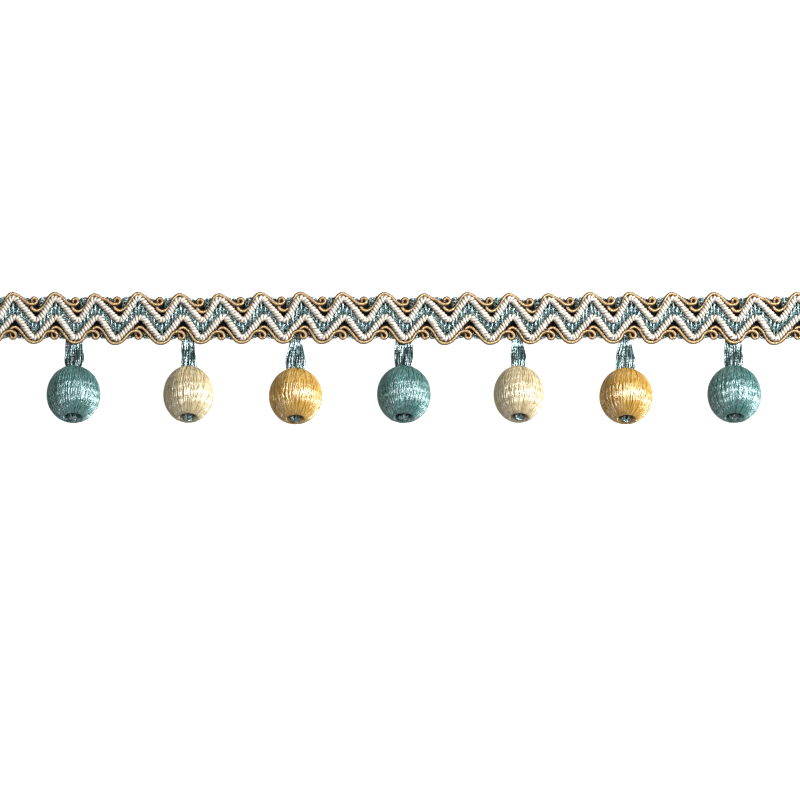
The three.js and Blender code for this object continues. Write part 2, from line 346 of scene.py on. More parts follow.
def round_profile(bench, sides, radius):
    """A circle whose points know where they are round it, as the vector attribute ring."""
    circle = bench.first("GeometryNodeCurvePrimitiveCircle", {"Resolution": sides, "Radius": radius})
    ring = bench.vector("NORMALIZE", bench.first("GeometryNodeInputPosition"))
    return bench.store(circle, "ring", ring, data_type="FLOAT_VECTOR")


def wandering_course(bench, given):
    """The starting mesh's lines as smooth even-stepped curves that wander slowly from their course."""
    lines = bench.first("GeometryNodeMeshToCurve", {"Mesh": given["Geometry"]})
    flowing = bench.first("GeometryNodeCurveSplineType", {"Curve": lines}, spline_type="CATMULL_ROM")
    steps = {"Curve": flowing, "Length": given["Step"]}
    stepped = bench.first("GeometryNodeResampleCurve", steps, mode="LENGTH")
    level = bench.first("GeometryNodeSetCurveNormal", {"Curve": stepped}, mode="Z_UP")
    place = bench.first("GeometryNodeInputPosition")
    frequency = bench.math("DIVIDE", 1.0, given["Waver Length"])
    drift = {"Vector": place, "W": given["Seed"], "Scale": frequency, "Detail": 1.0}
    noise = bench.node("ShaderNodeTexNoise", drift, noise_dimensions="4D").outputs["Color"]
    centred = bench.vector("SUBTRACT", noise, (0.5, 0.5, 0.5))
    wander = bench.scaled(centred, bench.math("MULTIPLY", given["Waver"], 2.0))
    return bench.first("GeometryNodeSetPosition", {"Geometry": level, "Offset": wander})


def laid_plies(bench, given, course):
    """Plies that turn round each course, each a share of a turn from the last. No two yarns start at
    the same turn. The attribute crown says how high on its yarn a ply is, from -1 to 1."""
    item = bench.first("GeometryNodeInputIndex")
    own = bench.random(0.0, 1.0, item, given["Seed"])
    begun = bench.store(course, "start", own, "CURVE")
    copies = bench.node(
        "GeometryNodeDuplicateElements", {"Geometry": begun, "Amount": given["Plies"]}, domain="SPLINE")
    length = bench.node("GeometryNodeSplineParameter").outputs["Length"]
    measured = bench.store(copies.outputs[0], "along", length)
    share = bench.math("DIVIDE", copies.outputs[1], given["Plies"])
    start = bench.first("GeometryNodeInputNamedAttribute", {"Name": "start"}, data_type="FLOAT")
    first_turn = bench.math("ADD", share, start)
    turns = bench.math("ADD", bench.math("DIVIDE", length, given["Pitch"]), first_turn)
    angle = bench.math("MULTIPLY", turns, bench.math("MULTIPLY", given["Hand"], math.tau))
    normal = bench.first("GeometryNodeInputNormal")
    upright = bench.vector("CROSS_PRODUCT", bench.first("GeometryNodeInputTangent"), normal)
    reach = given["Lay Radius"]
    across = bench.scaled(normal, bench.math("MULTIPLY", bench.math("COSINE", angle), reach))
    above = bench.scaled(upright, bench.math("MULTIPLY", bench.math("SINE", angle), reach))
    aside = bench.vector("ADD", across, above)
    crown = bench.math("DIVIDE", bench.axes(aside)["Z"], reach)
    crowned = bench.store(measured, "crown", crown)
    laid = bench.first("GeometryNodeSetPosition", {"Geometry": crowned, "Offset": aside})
    return bench.store(laid, "shade", own, "CURVE")


def plied_yarn_tree():
    """Yarn laid along each line of the starting mesh: plies that turn round its course."""
    tree, bench, given, wanted = new_group("Plied yarn", "GeometryNodeTree", {
        "Geometry": GEOMETRY, "Plies": 2, "Ply Radius": 0.3 * MM, "Lay Radius": 0.3 * MM,
        "Pitch": 2.0 * MM, "Step": 0.25 * MM, "Sides": 5, "Hand": -1.0, "Waver": 0.0,
        "Waver Length": 3.0 * MM, "Uneven": 0.0, "Lump Length": 1.0 * MM, "Seed": 0,
        "Material": MATERIAL,
    }, {"Geometry": GEOMETRY})
    plies = laid_plies(bench, given, wandering_course(bench, given))
    place = bench.first("GeometryNodeInputPosition")
    lumps = bench.noise(place, bench.math("DIVIDE", 1.0, given["Lump Length"]))
    thinnest = bench.math("SUBTRACT", 1.0, given["Uneven"])
    thickest = bench.math("ADD", 1.0, given["Uneven"])
    width = bench.map_range(lumps, *NOISE_RANGE, thinnest, thickest)
    profile = round_profile(bench, given["Sides"], given["Ply Radius"])
    bench.feed(wanted["Geometry"], finish_tube(bench, plies, profile, width, given["Material"]))
    return tree


def wound_threads(bench, given, course, thread):
    """Copies of one thread's course. Each goes to its own place round the ball, leans and wavers a
    little on its way, and rides up over its neighbours."""
    drift_length = 2.4 * MM
    drift_rows_apart = 3.7
    starts = bench.first("GeometryNodeMeshLine", {"Count": given["Threads"], "Offset": (0.0, 0.0, 0.0)})
    copies = bench.first("GeometryNodeInstanceOnPoints", {"Points": starts, "Instance": course})
    courses = bench.first("GeometryNodeRealizeInstances", {"Geometry": copies})
    seed = given["Seed"]
    jitter = bench.random(-0.5, 0.5, thread, seed)
    turns = bench.math("DIVIDE", bench.math("ADD", thread, jitter), given["Threads"])
    place = bench.first("GeometryNodeInputPosition")
    height = bench.axes(place)["Z"]
    rise = bench.math("DIVIDE", height, given["Girth"])
    least_slant = bench.math("MULTIPLY", given["Slant Spread"], -1.0)
    own_slant = bench.random(least_slant, given["Slant Spread"], thread, seed, step=1)
    slanted = bench.math("MULTIPLY", bench.math("ADD", given["Slant"], own_slant), rise)
    row = bench.math("ADD", bench.math("MULTIPLY", thread, drift_rows_apart), seed)
    down_it = bench.math("DIVIDE", height, drift_length)
    drift = bench.noise(bench.first("ShaderNodeCombineXYZ", {0: row, 1: down_it}), 1.0)
    wavered = bench.math("MULTIPLY", bench.math("SUBTRACT", drift, 0.5), given["Waver"])
    lean = bench.math("ADD", slanted, wavered)
    angle = bench.math("ADD", bench.math("MULTIPLY", turns, math.tau), lean)
    spin = {"Vector": place, "Angle": angle}
    turned = bench.first("ShaderNodeVectorRotate", spin, rotation_type="Z_AXIS")
    lift = bench.random(0.0, given["Lift"], thread, seed, step=2)
    lifted = bench.vector("ADD", turned, bench.scaled(bench.vector("NORMALIZE", turned), lift))
    return bench.first("GeometryNodeSetPosition", {"Geometry": courses, "Position": lifted})


def wound_floss_tree():
    """Floss wound pole to pole over a bored body. The starting mesh holds the body's faces and, as a
    line of loose edges, one thread's course from bore to bore round the Z axis."""
    thinnest = 0.75
    thickest = 1.15
    tree, bench, given, wanted = new_group("Wound floss", "GeometryNodeTree", {
        "Geometry": GEOMETRY, "Threads": 180, "Thread Radius": 0.2 * MM, "Girth": 10 * MM,
        "Bore": 2.5 * MM, "Mouth": 3.5 * MM, "Mouth Share": 0.5, "Slant": 0.1, "Slant Spread": 0.1,
        "Waver": 0.0, "Lift": 0.1 * MM, "Sides": 4, "Seed": 0, "Material": MATERIAL,
    }, {"Geometry": GEOMETRY})
    start = given["Geometry"]
    loose = bench.math("COMPARE", bench.first("GeometryNodeInputMeshEdgeNeighbors"), 0.0, 0.5)
    course = bench.first("GeometryNodeMeshToCurve", {"Mesh": start, "Selection": loose})
    course_gone = {"Geometry": start, "Selection": loose}
    body = bench.first("GeometryNodeDeleteGeometry", course_gone, domain="EDGE")
    thread = bench.node("GeometryNodeCurveOfPoint").outputs["Curve Index"]
    wound = wound_threads(bench, given, course, thread)
    length = bench.node("GeometryNodeSplineParameter").outputs["Length"]
    measured = bench.store(wound, "along", length)
    own_shade = bench.random(0.0, 1.0, bench.first("GeometryNodeInputIndex"), given["Seed"], step=3)
    shaded = bench.store(measured, "shade", own_shade, "CURVE")
    flat_place = bench.vector("MULTIPLY", bench.first("GeometryNodeInputPosition"), (1.0, 1.0, 0.0))
    from_axis = bench.node("ShaderNodeVectorMath", {0: flat_place}, operation="LENGTH").outputs["Value"]
    # Painted shadow in the bore: sunk is 1 at the bore and 0 at the mouth, and the material darkens the
    # threads by it.
    deep_in = bench.map_range(from_axis, given["Bore"], given["Mouth"], 1.0, 0.0)
    sunk = bench.store(shaded, "sunk", deep_in)
    slimmer = bench.map_range(from_axis, 0.0, given["Girth"], given["Mouth Share"])
    own_width = bench.random(thinnest, thickest, thread, given["Seed"], step=4)
    width = bench.math("MULTIPLY", slimmer, own_width)
    profile = round_profile(bench, given["Sides"], given["Thread Radius"])
    threads = finish_tube(bench, sunk, profile, width, given["Material"])
    dressed = bench.first("GeometryNodeSetMaterial", {"Geometry": body, "Material": given["Material"]})
    joined = bench.node("GeometryNodeJoinGeometry")
    bench.feed(joined.inputs[0], dressed)
    bench.feed(joined.inputs[0], threads)
    bench.feed(wanted["Geometry"], joined.outputs[0])
    return tree


# Objects
def new_mesh(name, points, edges, faces):
    mesh = bpy.data.meshes.new(name)
    mesh.from_pydata(points, edges, faces)
    return mesh


def new_object(name, data):
    made = bpy.data.objects.new(name, data)
    bpy.context.scene.collection.objects.link(made)
    return made


def make_piece(name, mesh, tree, values, seat=None):
    """Runs a tree on a starting mesh and keeps the result as a plain mesh."""
    piece = new_object(name, mesh)
    modifier = piece.modifiers.new("make", "NODES")
    modifier.node_group = tree
    for item in tree.interface.items_tree:
        if item.in_out == "INPUT" and item.name in values:
            modifier[item.identifier] = values[item.name]
    bpy.context.view_layer.update()
    made = bpy.data.meshes.new_from_object(piece.evaluated_get(bpy.context.evaluated_depsgraph_get()))
    piece.modifiers.remove(modifier)
    piece.data = made
    made.name = name
    if seat:
        made.transform(seat)
    return piece


def lay_yarn(name, lines, tree, recipe, material):
    """Yarn or wrapped cord along lines of points, given in millimetres."""
    points = []
    edges = []
    for line in lines:
        first = len(points)
        points += [Vector(point) * MM for point in line]
        edges += [(first + i, first + i + 1) for i in range(len(line) - 1)]
    mesh = new_mesh(name, points, edges, [])
    return make_piece(name, mesh, tree, {**recipe, "Material": material})


# Materials
def dye(red, green, blue):
    """A colour as seen, 0 to 255, in the linear values that a shader takes."""
    linear = []
    for value in (red, green, blue):
        share = value / 255
        linear.append(share / 12.92 if share <= 0.04045 else ((share + 0.055) / 1.055) ** 2.4)
    return (*linear, 1.0)


def dye_and_painted_light_group():
    """Colour that differs from thread to thread and drifts along it, with painted light on a crown: a pale
    painted highlight on top and painted shade down the sides.
    """
    rows_apart = 90.0
    tree, bench, given, wanted = new_group("Dye and painted light", "ShaderNodeTree", {
        "Deep": COLOR, "Body": COLOR, "Light": COLOR, "Patch Size": 2 * MM, "Thread Share": 0.6,
        "Crown Share": 0.0, "Crown Edge": 0.3, "Crown Facing": 0.35, "Crown Falloff": 1.0,
    }, {"Color": COLOR})
    shade = bench.stored("shade")["Fac"]
    own_row = bench.math("MULTIPLY", shade, rows_apart)
    down_it = bench.math("DIVIDE", bench.stored("along")["Fac"], given["Patch Size"])
    patches = bench.noise(bench.first("ShaderNodeCombineXYZ", {0: own_row, 1: down_it}), 1.0, 2.0)
    own = bench.mix(given["Thread Share"], bench.map_range(patches, *NOISE_RANGE), shade)
    # Painted light: where the ply stands high on its yarn and the surface faces up the colour pales into a
    # painted highlight, which the falloff narrows, and down the sides it darkens as painted shade.
    upward = bench.axes(bench.node("ShaderNodeNewGeometry").outputs["Normal"])["Z"]
    painted_light_mask = bench.mix(given["Crown Facing"], bench.stored("crown")["Fac"], upward)
    rising = bench.map_range(painted_light_mask, given["Crown Edge"], 1.0)
    painted_highlight_peak = bench.math("POWER", rising, given["Crown Falloff"])
    painted_light_tone = bench.math("MULTIPLY", bench.math("ADD", rising, painted_highlight_peak), 0.5)
    tone = bench.mix(given["Crown Share"], own, painted_light_tone)
    dark = bench.mix_color(bench.map_range(tone, 0.0, 0.5), given["Deep"], given["Body"])
    pale = bench.mix_color(bench.map_range(tone, 0.5, 1.0), dark, given["Light"])
    bench.feed(wanted["Color"], pale)
    return tree


def fibre_lines_group():
    """Fine filaments that run along a thread and turn slowly round it."""
    drift_size = 1.5 * MM
    speck_size = 0.38 * MM
    tree, bench, given, wanted = new_group("Fibre lines", "ShaderNodeTree", {
        "Filaments": 7.0, "Filament Pitch": 2 * MM, "Uneven": 0.6, "Grain": 0.5,
    }, {"Height": FLOAT, "Groove": FLOAT})
    ring = bench.axes(bench.stored("ring")["Vector"])
    angle = bench.math("ARCTAN2", ring["Y"], ring["X"])
    place = bench.node("ShaderNodeTexCoord").outputs["Object"]
    drift = bench.noise(place, 1 / drift_size)
    wander = bench.math("MULTIPLY", drift, bench.math("MULTIPLY", given["Uneven"], math.tau))
    share = bench.math("DIVIDE", bench.stored("along")["Fac"], given["Filament Pitch"])
    climb = bench.math("MULTIPLY", share, math.tau)
    phase = bench.math("ADD", bench.math("MULTIPLY", angle, given["Filaments"]), climb)
    height = bench.map_range(bench.math("SINE", bench.math("ADD", phase, wander)), -1.0, 1.0)
    rough_top = bench.math("MULTIPLY", bench.noise(place, 1 / speck_size), given["Grain"])
    bench.feed(wanted["Height"], bench.math("ADD", height, rough_top))
    bench.feed(wanted["Groove"], bench.math("SUBTRACT", 1.0, height))
    return tree


def new_material(name):
    """A material, the bench to lay its nodes on and its own shader."""
    material = bpy.data.materials.new(name)
    material.use_nodes = True
    return material, Bench(material.node_tree), material.node_tree.nodes["Principled BSDF"]


def raise_relief(bench, shader, height, strength, distance):
    """Relief on a shader's surface, from a height of 0 to 1 that stands for the distance."""
    bump = bench.node("ShaderNodeBump", {"Height": height, "Strength": strength, "Distance": distance})
    bench.feed(shader.inputs["Normal"], bump.outputs["Normal"])


def thread_material(name, groups, thread):
    """One thread: its colours, with painted shade in its filament grooves and in a ball's bore, how its
    filaments lie and how it shines.
    """
    finish = thread.finish
    deep = dye(*thread.deep)
    material, bench, shader = new_material(name)
    dye_and_painted_light = bench.first("ShaderNodeGroup", node_tree=groups["dye"], inputs={
        "Deep": deep, "Body": dye(*thread.body), "Light": dye(*thread.light),
        "Patch Size": finish["patch"] * MM, "Thread Share": finish["thread_share"], **finish["crown"],
    })
    lines = bench.node("ShaderNodeGroup", node_tree=groups["fibre"], inputs={
        "Filaments": finish["filaments"], "Filament Pitch": finish["pitch"] * MM,
        "Uneven": finish["uneven"], "Grain": finish["grain"],
    }).outputs
    # Painted shade: the colour darkens towards the deep dye in the grooves between filaments.
    groove_shaded = bench.mix_color(bench.math("MULTIPLY", lines["Groove"], finish["groove"]), dye_and_painted_light, deep)
    shadow = bench.math("MULTIPLY", bench.stored("sunk")["Fac"], BORE_SHADOW_SHARE)
    bench.feed(shader.inputs["Base Color"], bench.mix_color(shadow, groove_shaded, dye(*BORE_SHADOW)))
    roughness = bench.map_range(lines["Groove"], 0.0, 1.0, *finish["roughness"])
    bench.feed(shader.inputs["Roughness"], roughness)
    raise_relief(bench, shader, lines["Height"], finish["bump"], FILAMENT_RELIEF * MM)
    shader.inputs["Metallic"].default_value = finish["metallic"]
    shader.inputs["IOR"].default_value = finish["ior"]
    shader.inputs["Specular IOR Level"].default_value = finish["specular"]
    shader.inputs["Specular Tint"].default_value = dye(*thread.glint)
    return material


def woven_material(name, groups):
    """The tape's own cloth: a close plain weave, dyed nearly black as painted shade in the gaps between
    the yarns and cords, with painted shadow in the weave's pattern.
    """
    weave = GROUND_WEAVE
    frequency = math.tau / (weave["pitch"] * MM)
    material, bench, shader = new_material(name)
    axes = bench.axes(bench.node("ShaderNodeTexCoord").outputs["Object"])
    across = bench.math("SINE", bench.math("MULTIPLY", axes["X"], frequency))
    down = bench.math("SINE", bench.math("MULTIPLY", axes["Y"], frequency))
    over = bench.map_range(bench.math("MULTIPLY", across, down), -1.0, 1.0)
    dye_and_painted_light = bench.first("ShaderNodeGroup", node_tree=groups["dye"], inputs={
        "Deep": dye(*weave["deep"]), "Body": dye(*weave["body"]), "Light": dye(*weave["light"]),
        "Patch Size": weave["patch"] * MM, "Thread Share": 0.0,
    })
    shadow = bench.math("MULTIPLY", over, weave["shadow_share"])
    bench.feed(shader.inputs["Base Color"], bench.mix_color(shadow, dye_and_painted_light, dye(*weave["shadow"])))
    bench.feed(shader.inputs["Roughness"], bench.map_range(over, 0.0, 1.0, *weave["roughness"]))
    raise_relief(bench, shader, over, weave["bump"], weave["relief"] * MM)
    shader.inputs["Specular IOR Level"].default_value = weave["specular"]
    return material


# Finishes: patch, pitch and relief are millimetres, dyes are colours as seen, 0 to 255, and the rest
# are shares, counts or what the shader takes. The crown sets painted light, on yarn and cords only:
# a painted highlight on top and painted shade down the sides.
# The ground's dyes are painted shade: nearly black, standing for the shade in the gaps between yarns and
# cords.
GROUND_WEAVE = {
    "deep": (4, 12, 14), "body": (10, 26, 28), "light": (24, 50, 50), "shadow": (8, 22, 24),
    "pitch": 0.7, "patch": 1.2, "shadow_share": 0.5,
    "roughness": (0.55, 0.8), "bump": 0.8, "relief": 0.12, "specular": 0.1,
}
BRIGHT_FLOSS_FINISH = {
    "patch": 4.0, "thread_share": 0.4, "crown": {},
    "filaments": 3.0, "pitch": 3.0, "uneven": 0.6, "grain": 4.0, "groove": 0.3,
    "roughness": (0.3, 0.4), "bump": 0.8, "metallic": 0.1, "ior": 2.2, "specular": 1.0,
}
SOFT_FLOSS_FINISH = {
    **BRIGHT_FLOSS_FINISH, "grain": 1.5, "roughness": (0.34, 0.44), "metallic": 0.0, "ior": 2.05,
}
GOLD_FLOSS_FINISH = {**SOFT_FLOSS_FINISH, "roughness": (0.28, 0.38), "bump": 0.5, "metallic": 0.12}
CREAM_CORD_FINISH = {
    "patch": 1.6, "thread_share": 0.0,
    "crown": {"Crown Share": 0.6, "Crown Edge": 0.0, "Crown Facing": 0.5, "Crown Falloff": 1.0},
    "filaments": 9.0, "pitch": 2.5, "uneven": 0.5, "grain": 1.0, "groove": 0.4,
    "roughness": (0.45, 0.6), "bump": 0.8, "metallic": 0.0, "ior": 1.5, "specular": 0.5,
}
GOLD_CORD_FINISH = {
    "patch": 2.0, "thread_share": 0.0,
    "crown": {"Crown Share": 0.96, "Crown Edge": 0.3, "Crown Facing": 0.35, "Crown Falloff": 5.0},
    "filaments": 3.0, "pitch": 1.5, "uneven": 0.4, "grain": 0.5, "groove": 0.3,
    "roughness": (0.27, 0.37), "bump": 0.2, "metallic": 0.3, "ior": 1.6, "specular": 1.0,
}
YARN_FINISH = {
    "patch": 1.5, "thread_share": 0.65,
    "crown": {"Crown Share": 0.75, "Crown Edge": 0.4, "Crown Facing": 0.4, "Crown Falloff": 2.5},
    "filaments": 5.0, "pitch": 1.2, "uneven": 0.5, "grain": 0.5, "groove": 0.4,
    "roughness": (0.2, 0.34), "bump": 0.6, "metallic": 0.1, "ior": 2.3, "specular": 1.0,
}
HANGER_FINISH = {**YARN_FINISH, "patch": 6.0, "grain": 0.2, "bump": 0.4}
FILAMENT_RELIEF = 0.05
BORE_SHADOW = (12, 16, 14)
BORE_SHADOW_SHARE = 0.85

# Each thread's dyes: the deep one, also painted shade in its grooves and down the sides of a crown;
# the body over most of it; the light one where it is palest, on a crown a painted highlight; then its
# glint and its finish
COOL_GLINT = (232, 252, 255)
WARM_GLINT = (255, 250, 240)
Thread = namedtuple("Thread", "deep body light glint finish")
THREADS = {
    "tape_yarn": Thread((2, 10, 12), (70, 132, 130), (236, 255, 255), COOL_GLINT, YARN_FINISH),
    "hanger_yarn": Thread((2, 10, 12), (28, 82, 80), (186, 232, 232), COOL_GLINT, HANGER_FINISH),
    "cream_cord": Thread((64, 46, 36), (208, 196, 180), (244, 239, 233), WARM_GLINT, CREAM_CORD_FINISH),
    "gold_cord": Thread((52, 20, 0), (128, 72, 8), (255, 236, 170), WARM_GLINT, GOLD_CORD_FINISH),
    "teal_floss": Thread((4, 54, 48), (24, 96, 88), (58, 134, 124), COOL_GLINT, BRIGHT_FLOSS_FINISH),
    "cream_floss": Thread((136, 118, 78), (186, 169, 124), (222, 209, 178), WARM_GLINT, SOFT_FLOSS_FINISH),
    "gold_floss": Thread((148, 98, 4), (183, 138, 14), (228, 201, 96), WARM_GLINT, GOLD_FLOSS_FINISH),
}


def make_materials():
    groups = {"dye": dye_and_painted_light_group(), "fibre": fibre_lines_group()}
    materials = {"tape_ground": woven_material("tape ground", groups)}
    for name, thread in THREADS.items():
        materials[name] = thread_material(name.replace("_", " "), groups, thread)
    return materials


# Courses of the cords along the tape
def placed_scallops(edge):
    placed = []
    for repeat in REPEATS:
        start = REPEAT_START + repeat * REPEAT_LENGTH
        placed += [row._replace(crest=start + row.crest, curl=start + row.curl) for row in edge.scallops]
    past = TRIM_LENGTH / 2 + REPEAT_LENGTH / len(edge.scallops)
    return [row for row in placed if abs(row.crest) < past]


def cut_to_length(points):
    """The stretch of a course between the tape's two cut ends."""
    end = TRIM_LENGTH / 2 - CORD_END_INSET
    kept = []
    for here, there in zip(points, points[1:]):
        for bound in (-end, end):
            if min(here.x, there.x) < bound < max(here.x, there.x):
                kept.append(here.lerp(there, (bound - here.x) / (there.x - here.x)))
        if abs(there.x) < end:
            kept.append(there)
    return kept


def gold_course(edge):
    rows = placed_scallops(edge)
    points = []
    for row, following in zip(rows, rows[1:]):
        anchors = {
            "crest": (row.crest, row.crest_out),
            "curl": (row.curl, row.curl_out),
            "next": (following.crest, following.crest_out),
        }
        for turn in edge.stitch:
            along, out = anchors[turn.anchor]
            level = GOLD_LOW + GOLD_RISE * turn.level
            points.append(Vector((along + turn.along, edge.side * (out + turn.out), level)))
    return cut_to_length(points)


def cream_corners(edge):
    """The zigzag's corners, as places along and across the tape, and which way each one points."""
    corners = []
    for row in placed_scallops(edge):
        painted_highlight_peak = edge.side * (row.crest_out - CREAM_PEAK_BELOW_CREST)
        corners.append((row.crest + CREAM_PEAK_SHIFT, painted_highlight_peak, edge.side))
        corners.append((row.curl + CREAM_VALLEY_SHIFT, edge.side * CREAM_VALLEY_OUT, -edge.side))
    return corners


def cream_course(edge):
    points = []
    for along, out, bend in cream_corners(edge):
        for step in (-1, 0, 1):
            drop = CREAM_CORNER_DROP if step else 0
            points.append(Vector((along + step * CREAM_CORNER_HALF, out - bend * drop, CREAM_LEVEL)))
    return cut_to_length(points)


def zigzag_at(corners, along):
    """How far across the tape a zigzag's middle is at a place along it."""
    for (x0, y0, _), (x1, y1, _) in zip(corners, corners[1:]):
        if x0 <= along <= x1:
            return y0 + (y1 - y0) * (along - x0) / (x1 - x0)
    return None


# Tape
def ground_level(i, count, share):
    if abs(share) == 1 or i in (0, count):
        return GROUND_TOP - GROUND_EDGE_DROP
    return GROUND_TOP + (RIDGE_HEIGHT if i % 2 else 0)


def tape_mesh(name):
    """The woven ground: a thin closed sheet with a low ridge over each crosswise yarn."""
    count = 2 * round(TRIM_LENGTH / RIDGE_PITCH)
    top = []
    bottom = []
    for i in range(count + 1):
        x = TRIM_LENGTH * (i / count - 0.5)
        for share in GROUND_ROWS:
            y = TAPE_HALF_WIDTH * share
            top.append((x * MM, y * MM, ground_level(i, count, share) * MM))
            bottom.append((x * MM, y * MM, 0))
    across = len(GROUND_ROWS)
    under = len(top)
    faces = []
    for i in range(count):
        for j in range(across - 1):
            a = i * across + j
            b = a + across
            faces.append((a, b, b + 1, a + 1))
            faces.append((under + a + 1, under + b + 1, under + b, under + a))
        for j in (0, across - 1):
            a = i * across + j
            side = (a, under + a, under + a + across, a + across)
            faces.append(side if j == 0 else side[::-1])
    for i in (0, count):
        for j in range(across - 1):
            a = i * across + j
            end = (a, a + 1, under + a + 1, under + a)
            faces.append(end if i == 0 else end[::-1])
    return new_mesh(name, top + bottom, [], faces)


def stray(draw, most):
    """A random distance of at most so much to either side."""
    return draw.uniform(-most, most)


def past_the_end(along):
    """Whether a yarn at this place along the tape would lie past its cut end."""
    return abs(along) > TRIM_LENGTH / 2 - YARN_END_INSET


def notch_lines(upper, lower):
    """Short upright yarns in each corner of the band between the two zigzags."""
    places = range(-2, 3)
    spacing = 1.45
    spacing_slack = 0.12
    tuck = 0.9
    foot = YARN_BED + 0.9
    crown = YARN_BED + 1.5
    bulge_slack = (-0.15, 0.25)
    most_lean = 0.3
    lines = []
    draw = random.Random(NOTCH_SEED)
    for along, _, _ in upper:
        for place in places:
            x = along + place * spacing + stray(draw, spacing_slack)
            if past_the_end(x):
                continue
            top = zigzag_at(upper, x) - tuck
            bottom = zigzag_at(lower, x) + tuck
            bulge = crown + draw.uniform(*bulge_slack)
            lean = stray(draw, most_lean)
            middle = (top + bottom) / 2
            lines.append([
                Vector((x, top, foot)),
                Vector((x + lean / 2, (top + 2 * middle) / 3, bulge)),
                Vector((x + lean, (bottom + 2 * middle) / 3, bulge)),
                Vector((x + lean, bottom, foot)),
            ])
    return lines


def band_lines(upper, lower):
    """Yarns that run along the band side by side, and dip under the notch yarns at each corner."""
    places_across = (0.33, 0.44, 0.56, 0.67)
    step = 1.2
    end = TRIM_LENGTH / 2 - CORD_END_INSET
    crest = YARN_BED + 0.25
    dip = 0.45
    dip_reach = 3.2
    lines = []
    for share in places_across:
        line = []
        for i in range(int(2 * end / step) + 1):
            x = -end + i * step
            top = zigzag_at(upper, x)
            bottom = zigzag_at(lower, x)
            from_corner = min(abs(x - corner[0]) for corner in upper)
            level = crest - dip * max(0.0, 1 - from_corner / dip_reach)
            line.append(Vector((x, bottom + (top - bottom) * share, level)))
        lines.append(line)
    return lines


def crest_lines(edge, draw):
    """Yarn ends that fill the tape's edge under each crest."""
    places = (-2.6, -1.8, -1.0, -0.2, 0.6, 1.4, 2.2)
    inset = 0.4
    rounding = 0.12
    foot = YARN_BED - 0.2
    foot_in = 3.4
    knee_in = 1.8
    knee_slack = 0.2
    tip = YARN_BED - 0.25
    tip_slack = 0.3
    lines = []
    for row in placed_scallops(edge):
        for place in places:
            x = row.crest + place
            if past_the_end(x):
                continue
            out = row.crest_out - inset - rounding * place * place
            lines.append([
                Vector((x, edge.side * (out - foot_in), foot)),
                Vector((x + stray(draw, knee_slack), edge.side * (out - knee_in), YARN_BED)),
                Vector((x + stray(draw, tip_slack), edge.side * out, tip)),
            ])
    return lines


def loop_lines(edge, draw):
    """Rows of small yarn loops on both sides of each curl. The outer row stands past the tape."""
    rows_in = (0.0, -1.3, -2.6)
    along_slack = 0.15
    out_slack = (-0.15, 0.1)
    foot = YARN_BED - 0.2
    foot_in = 1.6
    shoulder = YARN_BED + 0.35
    shoulder_in = 0.5
    shoulder_share = 0.8
    tip_rise = 0.15
    row_drop = 0.1
    lines = []
    for row in placed_scallops(edge):
        for loop in LOOPS:
            for inward in rows_in:
                x = row.curl + loop.along + stray(draw, along_slack)
                if past_the_end(x):
                    continue
                out = row.curl_out + loop.out + inward + draw.uniform(*out_slack)
                level = shoulder - row_drop * inward / rows_in[-1]
                wide = loop.half
                narrow = loop.half * shoulder_share
                lines.append([
                    Vector((x - wide, edge.side * (out - foot_in), foot)),
                    Vector((x - narrow, edge.side * (out - shoulder_in), level)),
                    Vector((x, edge.side * out, level + tip_rise)),
                    Vector((x + narrow, edge.side * (out - shoulder_in), level)),
                    Vector((x + wide, edge.side * (out - foot_in), foot)),
                ])
    return lines


def edge_lines(edge):
    draw = random.Random(EDGE_SEED + edge.side)
    return crest_lines(edge, draw) + loop_lines(edge, draw)


# Balls
def resting_height(ball):
    from_poles = ball.pole * math.sin(BALL_LEAN)
    from_girth = ball.girth * math.cos(BALL_LEAN)
    return math.hypot(from_poles, from_girth) - REST_CUT


def mouth_place(ball):
    return ball.pole * math.sqrt(1 - ((ball.mouth + LIP_WIDTH) / ball.girth) ** 2)


def ball_seat(ball, along):
    """Puts a ball made round the Z axis, its lower mouth up, where it hangs."""
    turn = Matrix.Rotation(math.pi / 2 - BALL_LEAN, 4, "X")
    place = Vector((along, ball.centre_out, resting_height(ball))) * MM
    return Matrix.Translation(place) @ turn


def in_ball(ball, axial, across, above):
    """A place in a ball's own terms: how far towards its lower mouth, and across and above its axis."""
    lean = math.sin(BALL_LEAN)
    level = math.cos(BALL_LEAN)
    return Vector((
        across,
        ball.centre_out - level * axial + lean * above,
        resting_height(ball) + lean * axial + level * above,
    ))


def ball_profile(ball, inset, arc_steps):
    """Half of the ball's section from bore to bore, as distances from its axis and along it."""
    mouth = mouth_place(ball)
    lip_turn = math.acos((ball.mouth + LIP_WIDTH) / ball.girth)
    girth = ball.girth - inset
    pole = ball.pole - inset
    lip = [
        (BORE_RADIUS + inset, mouth - FUNNEL_DEPTH),
        (ball.mouth + inset / 2, mouth - LIP_ROLL - inset / 2),
        (ball.mouth + LIP_WIDTH / 2, mouth - inset / 2 + LIP_RISE),
    ]
    section = [(radius, -place) for radius, place in lip]
    for i in range(arc_steps + 1):
        turn = lip_turn * (2 * i / arc_steps - 1)
        section.append((girth * math.cos(turn), pole * math.sin(turn)))
    return section + lip[::-1]


